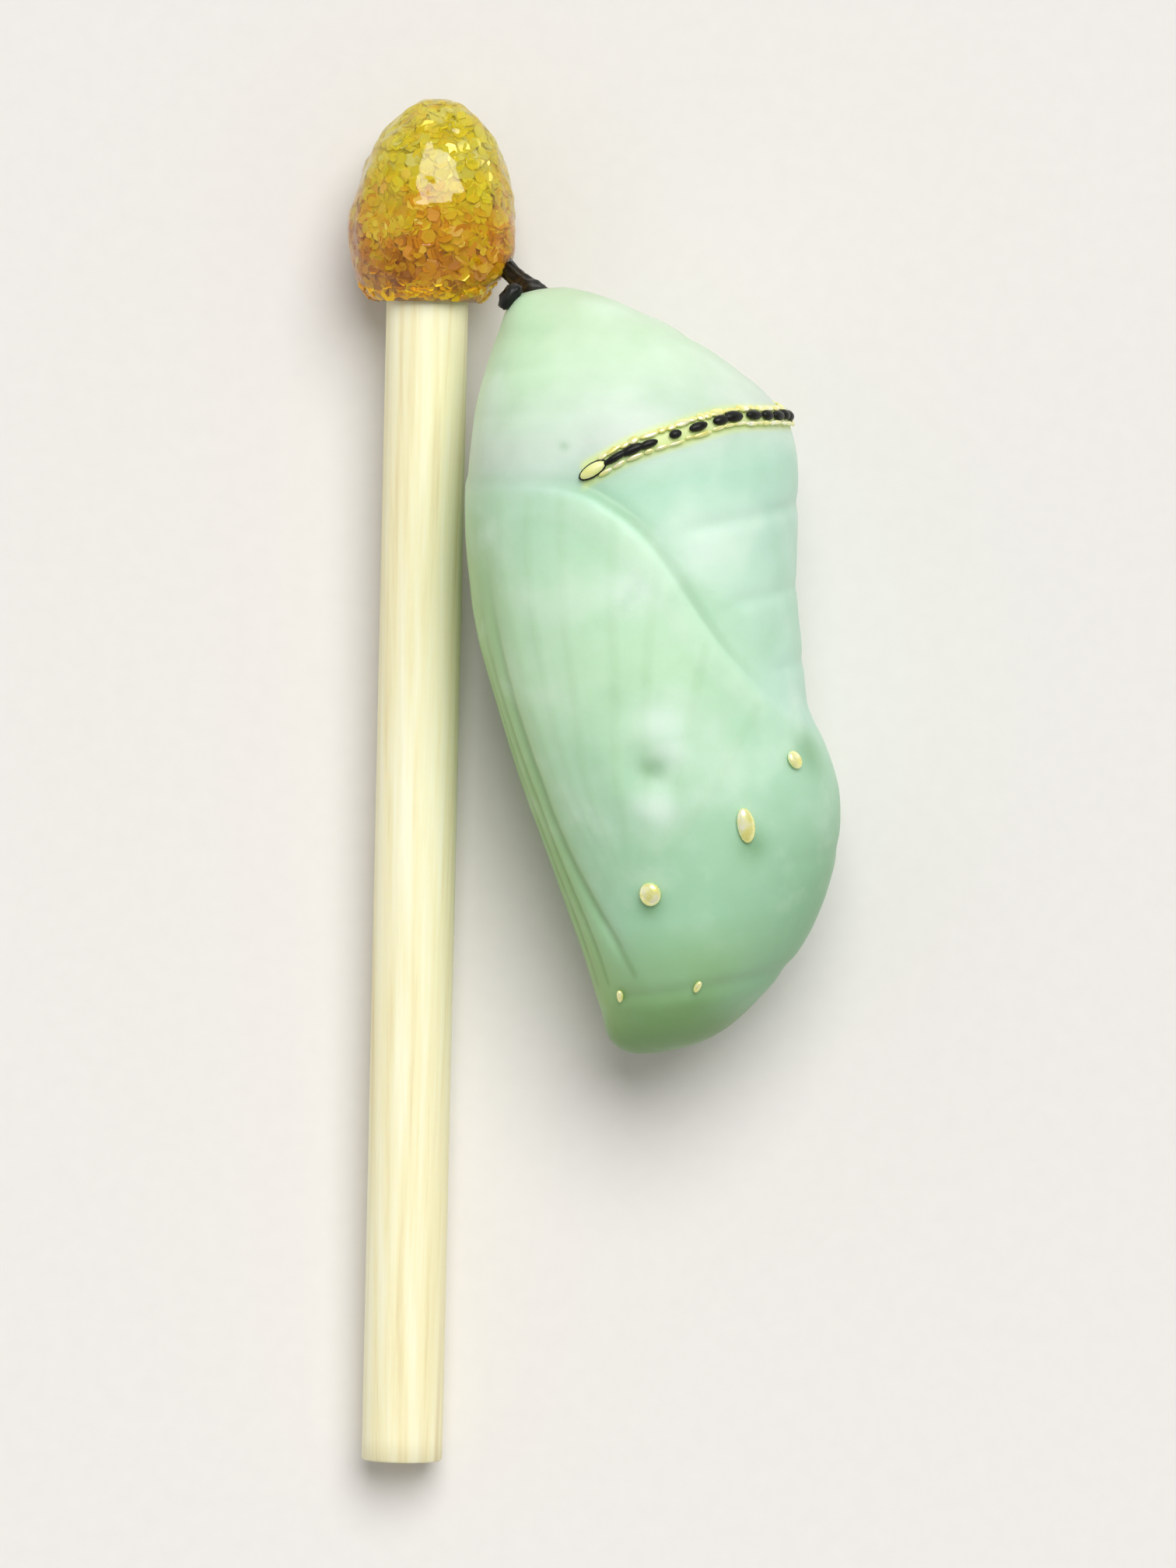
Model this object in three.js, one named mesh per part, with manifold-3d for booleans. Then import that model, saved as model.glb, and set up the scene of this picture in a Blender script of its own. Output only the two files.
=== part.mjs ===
// A monarch chrysalis glued by its stalk to the glittered tip of a bamboo skewer, lying on a table.
//
// Millimetres. +Z is up, +Y runs along the skewer towards its glued tip, and +X points to the side on
// which the chrysalis hangs. The skewer is cut off flat below the chrysalis. Three places carry the
// part: the belly of the glue, the flank of the chrysalis and the lower edge of the skewer's cut end.

import * as THREE from "three";
import { mergeVertices } from "three/addons/utils/BufferGeometryUtils.js";
import Module from "manifold-3d";

const wasm = await Module();
wasm.setup();

// Skewer
const SKEWER_RADIUS = 1.45;
const SKEWER_BARE = 41.4; // the length from its cut end to the glue
const SKEWER_SUNK = 4.0; // the length inside the glue
const SKEWER_SIDES = 28;
const FIBRE_DEPTH = 0.035; // the shallow flutes of the bamboo's fibres

// Glue, as a drop around the skewer's tip: [height above where the skewer goes in, half width]
const GLUE_OUTLINE = [
  [-0.78, 0], [-0.74, 1.3], [-0.45, 2.15], [0.35, 2.72], [1.4, 2.95], [2.6, 2.92],
  [3.8, 2.68], [4.9, 2.2], [5.75, 1.6], [6.3, 0.9], [6.52, 0],
];
const GLUE_BELLY = [1.8, 2.97]; // where the drop is thickest, and how thick it is there
const GLUE_LEAN = 0.045; // sideways, for each millimetre of height
const GLUE_LUMP = 0.07; // the height of its lumps
const GLUE_RINGS = 22;
const GLUE_SIDES = 32;

// Chrysalis, in its own frame: s runs from the stalk to the head, and each station is
// [s, belly, back, half breadth], with belly and back measured from one straight line.
const STATIONS = [
  [-0.12, 0.05, 0.05, 0], [0.0, -0.5, 0.65, 0.55], [0.5, -1.05, 2.0, 1.5], [1.25, -1.45, 3.3, 2.5],
  [2.4, -2.1, 4.95, 3.65], [3.7, -2.7, 6.35, 4.6], [5.0, -3.1, 7.5, 5.25], [6.2, -3.4, 8.1, 5.55],
  [7.4, -3.62, 8.2, 5.68], [9.2, -3.82, 7.9, 5.7], [11.4, -3.88, 7.52, 5.58], [13.8, -3.66, 7.3, 5.38],
  [16.3, -3.28, 7.18, 5.15], [18.6, -2.88, 7.6, 4.95], [20.5, -2.5, 7.36, 4.62], [22.3, -2.15, 6.65, 4.15],
  [23.8, -1.92, 5.7, 3.6], [25.1, -1.72, 4.4, 2.95], [26.05, -1.5, 3.1, 2.25], [26.6, -1.05, 2.0, 1.45],
  [26.84, -0.4, 1.0, 0.7], [26.88, 0.3, 0.3, 0],
];
const SQUARENESS = 2.15; // 2 is an ellipse
const BODY_RINGS = 66;
const BODY_SIDES = 44;
const HANG_ANGLE = 10.4; // degrees between the skewer and the chrysalis, seen from above
const HEAD_DIP = 5; // degrees by which the head end leans down to the table
const TOP_OF_BODY = [3.74, -0.22]; // the stalk's root, from where the skewer enters the glue

// The edge where the wing cases end, as [angle from the middle of the back in degrees, s]. It crosses
// the back behind the thorax, runs down the flank, and closes over the belly below the band.
const WING_EDGE = [
  [0, 16.6], [19, 16.35], [34, 15.8], [45, 15.0], [54, 14.1], [62, 13.1], [69, 11.9], [76, 10.6],
  [84, 9.3], [92, 8.3], [100, 7.6], [108, 7.05], [125, 6.6], [150, 6.4], [180, 6.25],
];
const WING_LEDGE = 0.24; // how far the wing cases stand proud of the abdomen
const LEDGE_WIDTH = 0.5;
const LEDGE_LOSS = 0.17; // how much lower the ledge is where it crosses the belly
const LEDGE_LOWERS = [105, 140]; // degrees over which it loses that height

// The groove along each wing case's front edge, where it meets the legs and feelers of the belly, as
// [s, angle from the middle of the back in degrees]
const LEG_GROOVE = [[5, 151], [14, 151], [17, 150.5], [19, 148.5], [21.2, 142], [22.9, 132], [24.2, 122]];
const LEG_GROOVE_ENDS = [6.8, 24.0];
const GROOVE_DEPTH = 0.16;
const GROOVE_WIDTH = 4.5; // degrees
const GROOVE_FADE = 2; // the length over which it fades at both ends

// Creases between the rings of the abdomen and behind the head: [s, where it ends, in degrees]
const CREASES = [
  [1.45, 180], [2.6, 180], [4.1, 180], [8.9, 78], [11.7, 62], [14.3, 46], [24.3, 146],
];
const CREASE_DEPTH = 0.1;
const CREASE_WIDTH = 0.32;
const FADE = 12; // degrees over which a crease or a ridge fades

// The small dimple in the middle of each wing case
const DIMPLE = [16.85, 97]; // s, and degrees from the middle of the back
const DIMPLE_DEPTH = 0.16;
const DIMPLE_RADIUS = 0.75;
const FLANK_RADIUS = 5.1; // of the case around it

// The band of dark beads that crosses the back, on a low ridge: [angle from the middle of the back, s]
const BAND = [[0, 5.95], [25, 5.65], [50, 5.4], [73, 5.6], [90, 5.88], [106, 6.43], [180, 9]];
const BAND_END = 104; // degrees from the middle of the back
const BAND_RIDGE = 0.13;
const BEAD_RADIUS = 0.25;
const BEADS_A_SIDE = 8;
const SUNK_SHARE = 0.35; // of its radius, by which a bead or stud's centre lies under the skin

// Gold studs, on both flanks: [s, degrees from the middle of the back, radius]
const STUDS = [
  [17.45, 42, 0.3], [19.25, 70, 0.33], [21.1, 110.5, 0.4], [24.7, 136.5, 0.24], [24.6, 87, 0.22],
];

// Stalk
const STALK_RADIUS = 0.42;
const STALK_ROOT = [0.35, 0.1, 0]; // its lower end, in the chrysalis's own frame
const STALK_ROOT_RADIUS = 0.74;
const STALK_FLARE = 0.45; // the share of its length over which it narrows from its root
const STALK_SIDES = 12;
const STALK_TOP = [1.75, 1.95, 3.5]; // its far end inside the glue, from where the skewer goes in

const HALVINGS = 24;
const GAP = 0.28; // left between pieces that are glued together, so that no two share a skin
const degrees = THREE.MathUtils.degToRad;
const smooth = THREE.MathUtils.smoothstep;

// Solids

function solidOf(geometry) {
  const bare = geometry.index ? geometry.toNonIndexed() : geometry.clone();
  bare.deleteAttribute("normal");
  bare.deleteAttribute("uv");
  const merged = mergeVertices(bare, 1e-4);
  const vertProperties = merged.attributes.position.array;
  const triVerts = new Uint32Array(merged.index.array);
  return new wasm.Manifold(new wasm.Mesh({ numProp: 3, vertProperties, triVerts }));
}

function geometryOf(solid) {
  const { vertProperties, triVerts } = solid.getMesh();
  const geometry = new THREE.BufferGeometry();
  geometry.setAttribute("position", new THREE.BufferAttribute(vertProperties, 3));
  geometry.setIndex(new THREE.BufferAttribute(triVerts, 1));
  geometry.computeVertexNormals();
  return geometry;
}

function curveThrough(points) {
  return new THREE.CatmullRomCurve3(
    points.map(([x, y]) => new THREE.Vector3(x, y, 0)),
    false,
    "catmullrom",
    0.5,
  );
}

// How far along a curve that never turns back it reaches x, from 0 to 1, by halving.
function reachOf(curve, x) {
  let low = 0;
  let high = 1;
  for (let i = 0; i < HALVINGS; i++) {
    const middle = (low + high) / 2;
    if (curve.getPoint(middle).x < x) low = middle;
    else high = middle;
  }
  return low;
}

// A round bar from one point to another.
function bar(from, to, fromRadius, toRadius, sides) {
  const along = new THREE.Vector3().subVectors(to, from);
  const geometry = new THREE.CylinderGeometry(toRadius, fromRadius, along.length(), sides);
  geometry.translate(0, along.length() / 2, 0);
  const turn = new THREE.Quaternion();
  turn.setFromUnitVectors(new THREE.Vector3(0, 1, 0), along.clone().normalize());
  return geometry.applyQuaternion(turn).translate(from.x, from.y, from.z);
}

// Skewer: a round stick whose outline has the flutes of its fibres

function skewerGeometry() {
  const outline = new THREE.Shape();
  for (let i = 0; i < SKEWER_SIDES; i++) {
    const angle = (2 * Math.PI * i) / SKEWER_SIDES;
    const radius = SKEWER_RADIUS - FIBRE_DEPTH * (1 + Math.sin(9 * angle)) / 2;
    const place = [radius * Math.cos(angle), radius * Math.sin(angle)];
    if (i === 0) outline.moveTo(...place);
    else outline.lineTo(...place);
  }
  const depth = SKEWER_BARE + SKEWER_SUNK;
  const stick = new THREE.ExtrudeGeometry(outline, { depth, steps: 4, bevelEnabled: false });
  return stick.rotateX(-Math.PI / 2).translate(0, -SKEWER_BARE, 0);
}

// Glue drop: a lumpy ball pulled to its outline, with holes for the skewer and the stalk

function glueGeometry(stalkHole) {
  const outline = curveThrough(GLUE_OUTLINE);
  const drop = new THREE.SphereGeometry(1, GLUE_SIDES, GLUE_RINGS);
  const position = drop.attributes.position;
  const uv = drop.attributes.uv;
  for (let i = 0; i < position.count; i++) {
    const angle = 2 * Math.PI * uv.getX(i);
    const point = outline.getPoint(outline.getUtoTmapping(uv.getY(i)));
    const lump = Math.sin(3 * angle + point.x) * Math.sin(2 * point.x)
      + Math.sin(5 * angle - 2 * point.x) / 2;
    const away = Math.min(1, point.y) * Math.min(1, 1 + Math.sin(angle)); // none under the belly
    const radius = point.y + GLUE_LUMP * lump * away;
    position.setXYZ(
      i,
      -radius * Math.cos(angle) + GLUE_LEAN * point.x,
      point.x,
      radius * Math.sin(angle),
    );
  }
  const floor = new THREE.Vector3(0, -2, 0);
  const end = new THREE.Vector3(0, SKEWER_SUNK + GAP, 0);
  const hole = bar(floor, end, SKEWER_RADIUS + GAP, SKEWER_RADIUS + GAP, SKEWER_SIDES);
  return geometryOf(solidOf(drop).subtract(solidOf(hole)).subtract(solidOf(stalkHole)));
}

// Chrysalis: rings of a rounded section, with the ledges and creases of its case

const bellyLine = curveThrough(STATIONS.map(([s, belly]) => [s, belly]));
const backLine = curveThrough(STATIONS.map(([s, , back]) => [s, back]));
const flankLine = curveThrough(STATIONS.map(([s, , , breadth]) => [s, breadth]));
const wingEdge = curveThrough(WING_EDGE);
const band = curveThrough(BAND);
const legGroove = curveThrough(LEG_GROOVE);

const valueAt = (curve, x) => curve.getPoint(reachOf(curve, x)).y;

// How far the case stands out from its plain form, at s and at an angle from the middle of the back.
function relief(s, angle) {
  const from = Math.abs(angle);
  const height = WING_LEDGE - LEDGE_LOSS * smooth(from, ...LEDGE_LOWERS);
  const ledge = height * smooth(s - valueAt(wingEdge, from), -LEDGE_WIDTH / 2, LEDGE_WIDTH / 2);
  const ridge = BAND_RIDGE
    * Math.exp(-(((s - valueAt(band, from)) / CREASE_WIDTH) ** 2))
    * (1 - smooth(from, BAND_END, BAND_END + FADE));
  let sunk = 0;
  for (const [place, end] of CREASES) {
    const fade = end === 180 ? 1 : 1 - smooth(from, end - FADE, end);
    sunk += CREASE_DEPTH * fade * Math.exp(-(((s - place) / CREASE_WIDTH) ** 2));
  }
  const [start, end] = LEG_GROOVE_ENDS;
  const along = smooth(s, start, start + GROOVE_FADE) * (1 - smooth(s, end - GROOVE_FADE, end));
  sunk += GROOVE_DEPTH * along * Math.exp(-(((from - valueAt(legGroove, s)) / GROOVE_WIDTH) ** 2));
  const away = Math.hypot(s - DIMPLE[0], degrees(from - DIMPLE[1]) * FLANK_RADIUS);
  sunk += DIMPLE_DEPTH * Math.exp(-((away / DIMPLE_RADIUS) ** 2));
  return ledge + ridge - sunk;
}

// A point of the skin, where t runs along the stations and the angle from the middle of the back.
function skinPoint(t, angle, lift = 0) {
  const { x: s, y: belly } = bellyLine.getPoint(t);
  const back = backLine.getPoint(t).y;
  const breadth = flankLine.getPoint(t).y;
  const cos = Math.cos(degrees(angle));
  const sin = Math.sin(degrees(angle));
  const round = (Math.abs(cos) ** SQUARENESS + Math.abs(sin) ** SQUARENESS) ** (-1 / SQUARENESS);
  const depth = ((back - belly) / 2) * cos * round;
  const side = breadth * sin * round;
  const size = Math.hypot(depth, side);
  const raise = size < 1e-6 ? 1 : 1 + Math.min(1, size) * (relief(s, angle) + lift) / size;
  return new THREE.Vector3(s, (back + belly) / 2 + depth * raise, side * raise);
}

function bodySkin() {
  const skin = new THREE.SphereGeometry(1, BODY_SIDES, BODY_RINGS);
  const position = skin.attributes.position;
  const uv = skin.attributes.uv;
  for (let i = 0; i < position.count; i++) {
    const t = backLine.getUtoTmapping(1 - uv.getY(i));
    const point = skinPoint(t, 180 - 360 * uv.getX(i));
    position.setXYZ(i, point.x, point.y, point.z);
  }
  return skin;
}

// A small round stud, half sunk in the skin.
function stud(s, angle, radius) {
  const place = skinPoint(reachOf(bellyLine, s), angle, -SUNK_SHARE * radius);
  const dome = new THREE.OctahedronGeometry(radius, 1);
  return dome.translate(place.x, place.y, place.z);
}

function chrysalisGeometry(stalk) {
  let body = solidOf(bodySkin()).add(stalk);
  for (const side of [-1, 1]) {
    for (const [s, angle, radius] of STUDS) body = body.add(solidOf(stud(s, side * angle, radius)));
    for (let i = 0; i < BEADS_A_SIDE; i++) {
      const angle = ((i + 0.5) / BEADS_A_SIDE) * BAND_END;
      body = body.add(solidOf(stud(valueAt(band, angle), side * angle, BEAD_RADIUS)));
    }
  }
  return geometryOf(body);
}

// Assembly

const cane = new THREE.MeshStandardMaterial({ color: "#eee2ac", roughness: 0.6, metalness: 0 });
const glitter = new THREE.MeshStandardMaterial({ color: "#c08a12", roughness: 0.35, metalness: 0.6 });
const jade = new THREE.MeshStandardMaterial({ color: "#b7e0bd", roughness: 0.28, metalness: 0 });

// The skewer and its glue tilt together, so that the glue's belly and the cut end both touch down.
const [bellyHeight, bellyDepth] = GLUE_BELLY;
const tilt = Math.asin((bellyDepth - SKEWER_RADIUS) / (SKEWER_BARE + bellyHeight));
const stickTurn = new THREE.Matrix4().makeRotationX(tilt);
stickTurn.setPosition(0, 0, SKEWER_RADIUS * Math.cos(tilt) + SKEWER_BARE * Math.sin(tilt));

// The chrysalis lies on its flank. Its frame has s along x, the back along y and a flank along z.
const turn = new THREE.Euler(0, degrees(HEAD_DIP), degrees(HANG_ANGLE - 90), "ZYX");
const bodyTurn = new THREE.Matrix4().makeRotationFromEuler(turn);
const bare = new THREE.Box3().setFromBufferAttribute(
  bodySkin().applyMatrix4(bodyTurn).attributes.position,
);
bodyTurn.setPosition(...TOP_OF_BODY, -bare.min.z);

// The stalk joins the two, so its ends are worked out in each one's frame.
const stalkTop = new THREE.Vector3(...STALK_TOP);
const stalkRoot = new THREE.Vector3(...STALK_ROOT);
const topOnBody = stalkTop.clone().applyMatrix4(bodyTurn.clone().invert());
const rootOnStick = stalkRoot.clone().applyMatrix4(bodyTurn).applyMatrix4(stickTurn.clone().invert());
const topOnStick = stalkTop.clone().applyMatrix4(stickTurn.clone().invert());
const flareEnd = stalkRoot.clone().lerp(topOnBody, STALK_FLARE);
const flare = solidOf(bar(stalkRoot, flareEnd, STALK_ROOT_RADIUS, STALK_RADIUS, STALK_SIDES));
const shaft = solidOf(bar(stalkRoot, topOnBody, STALK_RADIUS, STALK_RADIUS, STALK_SIDES));
const onwards = topOnStick.clone().sub(rootOnStick).setLength(GAP);
const holeRadius = STALK_RADIUS + GAP;
const stalkHole = bar(rootOnStick, topOnStick.clone().add(onwards), holeRadius, holeRadius, STALK_SIDES);

function place(name, geometry, material, matrix) {
  const mesh = new THREE.Mesh(geometry, material);
  mesh.name = name;
  matrix.decompose(mesh.position, mesh.quaternion, mesh.scale);
  return mesh;
}

const laid = new THREE.Group();
laid.add(place("skewer", skewerGeometry(), cane, stickTurn));
laid.add(place("glitter_glue", glueGeometry(stalkHole), glitter, stickTurn));
laid.add(place("chrysalis", chrysalisGeometry(flare.add(shaft)), jade, bodyTurn));

// The origin is under the middle of the part, on the table.
const box = new THREE.Box3().setFromObject(laid, true);
laid.position.set(-(box.min.x + box.max.x) / 2, -(box.min.y + box.max.y) / 2, -box.min.z);

const part = new THREE.Group();
part.add(laid);

export default part;
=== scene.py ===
# %% [markdown]
# # A monarch chrysalis on the glittered tip of a bamboo stick
#
# A chrysalis is the case in which a caterpillar turns into a butterfly. This one is pale mint green, waxy
# and a little translucent, with a crown of black and gold beads across its back and a few gold dots. Its
# short black stalk is glued into a drop of gold glitter glue on the tip of a bamboo stick.
#
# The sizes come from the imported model, which is loaded first. Its three solids stay the measure of
# everything: each one is replaced by a finer piece in exactly the same place.

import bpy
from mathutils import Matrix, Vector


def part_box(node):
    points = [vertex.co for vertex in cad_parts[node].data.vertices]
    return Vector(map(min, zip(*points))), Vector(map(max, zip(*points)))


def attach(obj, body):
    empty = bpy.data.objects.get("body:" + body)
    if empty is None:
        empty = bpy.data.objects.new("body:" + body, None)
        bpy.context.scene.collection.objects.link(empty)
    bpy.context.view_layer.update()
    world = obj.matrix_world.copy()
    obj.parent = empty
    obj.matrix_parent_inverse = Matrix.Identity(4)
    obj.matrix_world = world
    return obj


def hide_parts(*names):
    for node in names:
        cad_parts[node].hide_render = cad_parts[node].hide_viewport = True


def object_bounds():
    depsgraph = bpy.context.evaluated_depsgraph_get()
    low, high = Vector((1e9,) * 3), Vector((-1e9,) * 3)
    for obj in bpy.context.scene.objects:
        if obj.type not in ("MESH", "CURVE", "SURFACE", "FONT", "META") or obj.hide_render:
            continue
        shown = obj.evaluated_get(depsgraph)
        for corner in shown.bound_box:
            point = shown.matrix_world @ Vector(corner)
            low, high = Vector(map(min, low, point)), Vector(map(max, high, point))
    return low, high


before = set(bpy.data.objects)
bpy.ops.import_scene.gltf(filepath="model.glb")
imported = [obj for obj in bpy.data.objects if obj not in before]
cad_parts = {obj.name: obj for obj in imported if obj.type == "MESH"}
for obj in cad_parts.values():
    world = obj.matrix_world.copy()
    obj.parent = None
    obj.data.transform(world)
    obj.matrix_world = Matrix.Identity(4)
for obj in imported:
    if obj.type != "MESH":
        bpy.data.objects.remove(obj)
cad_low, cad_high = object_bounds()
print("packed solids:", sorted(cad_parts))
print("their box in mm:", [round(1000 * x, 1) for x in cad_high - cad_low])

# %% [markdown]
# ## Working at a bench
#
# The real thing is under 5 cm long. Each piece is modelled in millimetres along the bench's X axis, where
# the numbers are easy to read, and then one matrix puts its mesh in place in metres. The object itself
# stays at the origin, unturned, so its materials can read Object coordinates.
#
# Blender's operators act on whatever is selected, so everything is deselected before each new primitive.

# %% Bench tools
import math
import random

import bpy
import numpy as np
from mathutils import Matrix, Vector, noise

MM = 0.001


def clear_bench():
    """Deselect everything and leave edit mode, ready for the next primitive."""
    if bpy.context.object and bpy.context.object.mode != "OBJECT":
        bpy.ops.object.mode_set(mode="OBJECT")
    bpy.ops.object.select_all(action="DESELECT")


def pick(piece):
    """Leave one piece selected and active."""
    clear_bench()
    piece.select_set(True)
    bpy.context.view_layer.objects.active = piece


def apply_modifier(piece, kind, **settings):
    """Add one modifier, set it and apply it."""
    pick(piece)
    modifier = piece.modifiers.new(kind.title(), kind)
    for name, value in settings.items():
        setattr(modifier, name, value)
    bpy.ops.object.modifier_apply(modifier=modifier.name)


def subdivide(piece, levels):
    apply_modifier(piece, "SUBSURF", levels=levels, render_levels=levels)


def corners(piece):
    """The places of a piece's vertices, as rows of x, y and z."""
    places = np.empty(len(piece.data.vertices) * 3)
    piece.data.vertices.foreach_get("co", places)
    return places.reshape(-1, 3)


def outward(piece):
    """The direction in which the surface faces at each vertex."""
    normals = np.empty(len(piece.data.vertices) * 3)
    piece.data.vertex_normals.foreach_get("vector", normals)
    return normals.reshape(-1, 3)


def move_corners(piece, places):
    piece.data.vertices.foreach_set("co", np.asarray(places).ravel())
    piece.data.update()


def in_mm(places, digits=2):
    """Metres as rounded millimetres, to print."""
    return [round(float(x) / MM, digits) for x in places]


def put_in_place(piece, matrix):
    """Bring a bench piece to its place in the model."""
    piece.data.transform(matrix)
    piece.data.update()
    size = in_mm(corners(piece).max(0) - corners(piece).min(0))
    print(f"{piece.name}: {len(piece.data.polygons)} faces, {size} mm")


def finish_piece(piece, finish, slot, *nodes):
    """Give a piece its material and body, and hide the solids that it stands for. Its slot is not used."""
    piece.data.materials.clear()
    piece.data.materials.append(finish)
    pick(piece)
    bpy.ops.object.shade_smooth()
    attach(piece, "root")
    if nodes:
        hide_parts(*nodes)


# %% [markdown]
# ## Curves through a few chosen points
#
# Every outline here is a short list of points, as one would mark on squared paper. A Catmull-Rom curve runs
# smoothly through all of them. It is the curve that the solids were made with, so the pieces fit.

# %% Curves
STEPS_A_SPAN = 40


def curve_through(points, steps=STEPS_A_SPAN):
    """Rows of points along a smooth curve through the given rows."""
    points = np.array(points, float)
    row = np.vstack([2 * points[0] - points[1], points, 2 * points[-1] - points[-2]])
    t = np.linspace(0, 1, steps, endpoint=False)[:, None]
    spans = []
    for before, start, end, after in zip(row, row[1:], row[2:], row[3:]):
        leave, arrive = (end - before) / 2, (after - start) / 2
        spans.append(
            (2 * t**3 - 3 * t**2 + 1) * start + (t**3 - 2 * t**2 + t) * leave
            + (3 * t**2 - 2 * t**3) * end + (t**3 - t**2) * arrive
        )
    return np.vstack([*spans, points[-1:]])


def smooth_step(value, low, high):
    t = np.clip((value - low) / (high - low), 0, 1)
    return t * t * (3 - 2 * t)


def hump(value, width):
    """1 at zero, falling softly to nothing over about twice the width."""
    return np.exp(-((value / width) ** 2))


# %% [markdown]
# ## A loft
#
# The stick, the drop and the chrysalis are all round bodies whose section changes along their length. They
# could be spun, but a spin gives only true circles, and the chrysalis is deeper than it is broad. So each
# is lofted: a circle is extruded along X again and again, and each new ring is moved and scaled to its
# station.
#
# Blender's tools may number the new corners and faces differently on each run. What is later chosen by
# chance from the faces would then change too, so they are numbered again by their places.

# %% Loft a body from rings


def number_by_place(piece):
    """Give a mesh's corners and faces the same numbers on each run."""
    mesh = piece.data
    places = [tuple(corner.co) for corner in mesh.vertices]
    order = sorted(range(len(places)), key=places.__getitem__)
    new_number = {old: new for new, old in enumerate(order)}
    rows = []
    for face in mesh.polygons:
        row = [new_number[i] for i in face.vertices]
        first = row.index(min(row))
        rows.append(row[first:] + row[:first])
    mesh.clear_geometry()
    mesh.from_pydata([places[i] for i in order], [], sorted(rows))
    mesh.update()


def loft(name, rings, sides, squareness=2.0):
    """Extrude a circle through rings of (x, middle in y, half size in y, half size in z)."""
    clear_bench()
    bpy.ops.mesh.primitive_circle_add(vertices=sides, radius=1, rotation=(0, math.pi / 2, 0))
    piece = bpy.context.object
    piece.name = piece.data.name = name
    bpy.ops.object.transform_apply(location=False, rotation=True, scale=False)
    x, middle, deep, broad = rings[0]
    for corner in piece.data.vertices:
        _, y, z = corner.co
        swell = (abs(y) ** squareness + abs(z) ** squareness) ** (-1 / squareness)
        corner.co = (x, middle + deep * y * swell, broad * z * swell)
    bpy.ops.object.mode_set(mode="EDIT")
    bpy.ops.mesh.select_mode(type="VERT")
    bpy.ops.mesh.select_all(action="SELECT")
    for (x, middle, deep, broad), (to_x, to_middle, to_deep, to_broad) in zip(rings, rings[1:]):
        step = (to_x - x, to_middle - middle, 0)
        bpy.ops.mesh.extrude_region_move(TRANSFORM_OT_translate={"value": step})
        grow = (1, to_deep / deep, to_broad / broad)
        bpy.ops.transform.resize(value=grow, center_override=(to_x, to_middle, 0))
    bpy.ops.mesh.edge_face_add()
    bpy.ops.mesh.select_all(action="DESELECT")
    bpy.ops.object.mode_set(mode="OBJECT")
    for corner in piece.data.vertices[:sides]:
        corner.select = True
    bpy.ops.object.mode_set(mode="EDIT")
    bpy.ops.mesh.edge_face_add()
    bpy.ops.mesh.select_all(action="SELECT")
    bpy.ops.mesh.normals_make_consistent(inside=False)
    bpy.ops.object.mode_set(mode="OBJECT")
    number_by_place(piece)
    return piece


# %% [markdown]
# ## Where the pieces lie
#
# The stick lies tilted, because the drop of glue on its tip is thicker than the stick itself. The tilt
# follows from those two sizes. The place where the stick enters the glue is the start from which the rest
# is measured.

# %% Places
STICK_RADIUS = 1.45
STICK_BARE = 41.4  # from the cut end to the glue
STICK_SUNK = 4.0  # inside the glue
DROP_BELLY = (1.8, 2.97)  # where the drop is thickest, and how thick
HANG_ANGLE = math.radians(10.4)  # between the stick and the chrysalis
HEAD_DIP = math.radians(5)  # the head end leans down to the table
TOP_OF_BODY = (3.74, -0.22)  # from where the stick enters the glue
STALK_TOP = (2.1, 1.15, 3.1)  # inside the glue, from the same place and from the table

stick_tilt = math.asin((DROP_BELLY[1] - STICK_RADIUS) / (STICK_BARE + DROP_BELLY[0]))
stick_low, stick_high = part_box("skewer")
entry = Vector((
    (stick_low.x + stick_high.x) / 2,
    stick_low.y + MM * (STICK_BARE * math.cos(stick_tilt) + STICK_RADIUS * math.sin(stick_tilt)),
    MM * (STICK_RADIUS * math.cos(stick_tilt) + STICK_BARE * math.sin(stick_tilt)),
))
bench_to_stick = (
    Matrix.Translation(entry)
    @ Matrix.Rotation(stick_tilt, 4, "X")
    @ Matrix.Rotation(math.pi / 2, 4, "Z")
    @ Matrix.Scale(MM, 4)
)
print("the stick enters the glue at", in_mm(entry), "mm")
print("its tilt is", round(math.degrees(stick_tilt), 2), "degrees")

# %% [markdown]
# ## The camera
#
# The real chrysalis hangs, and the camera that saw it looked level. Lying on a table it shows the same
# flank to a camera that looks straight down. The stick leans a little to the right, so the camera is rolled
# by as much. A long lens keeps the straight stick from tapering.

# %% Camera
IMAGE_LEAN = math.radians(1.3)
CAMERA_HEIGHT = 0.36
VIEW_HEIGHT = 0.0545  # of the table, seen from top to bottom
CLIP_START = 0.01

clear_bench()
middle = (cad_low + cad_high) / 2
bpy.ops.object.camera_add(location=(middle.x, middle.y, CAMERA_HEIGHT), rotation=(0, 0, IMAGE_LEAN))
camera = bpy.context.object
camera.name = "camera"
camera.data.lens = camera.data.sensor_width * (CAMERA_HEIGHT - middle.z) / VIEW_HEIGHT
camera.data.clip_start = CLIP_START
bpy.context.scene.camera = camera
print("lens", round(camera.data.lens), "mm")

# %% [markdown]
# ## Helpers for finishes
#
# A finish is a small network of nodes. These helpers add one node each and wire what they are given: a
# number or colour is typed into the socket, and another node's output is linked to it.

# %% Node helpers


def srgb(red, green, blue):
    """A colour given from 0 to 255, as the linear colour that Blender computes with."""
    linear = [((c / 255 + 0.055) / 1.055) ** 2.4 if c > 10 else c / 255 / 12.92 for c in (red, green, blue)]
    return (*linear, 1)


def new_finish(name):
    finish = bpy.data.materials.new(name)
    finish.use_nodes = True
    return finish, finish.node_tree, finish.node_tree.nodes["Principled BSDF"]


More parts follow.
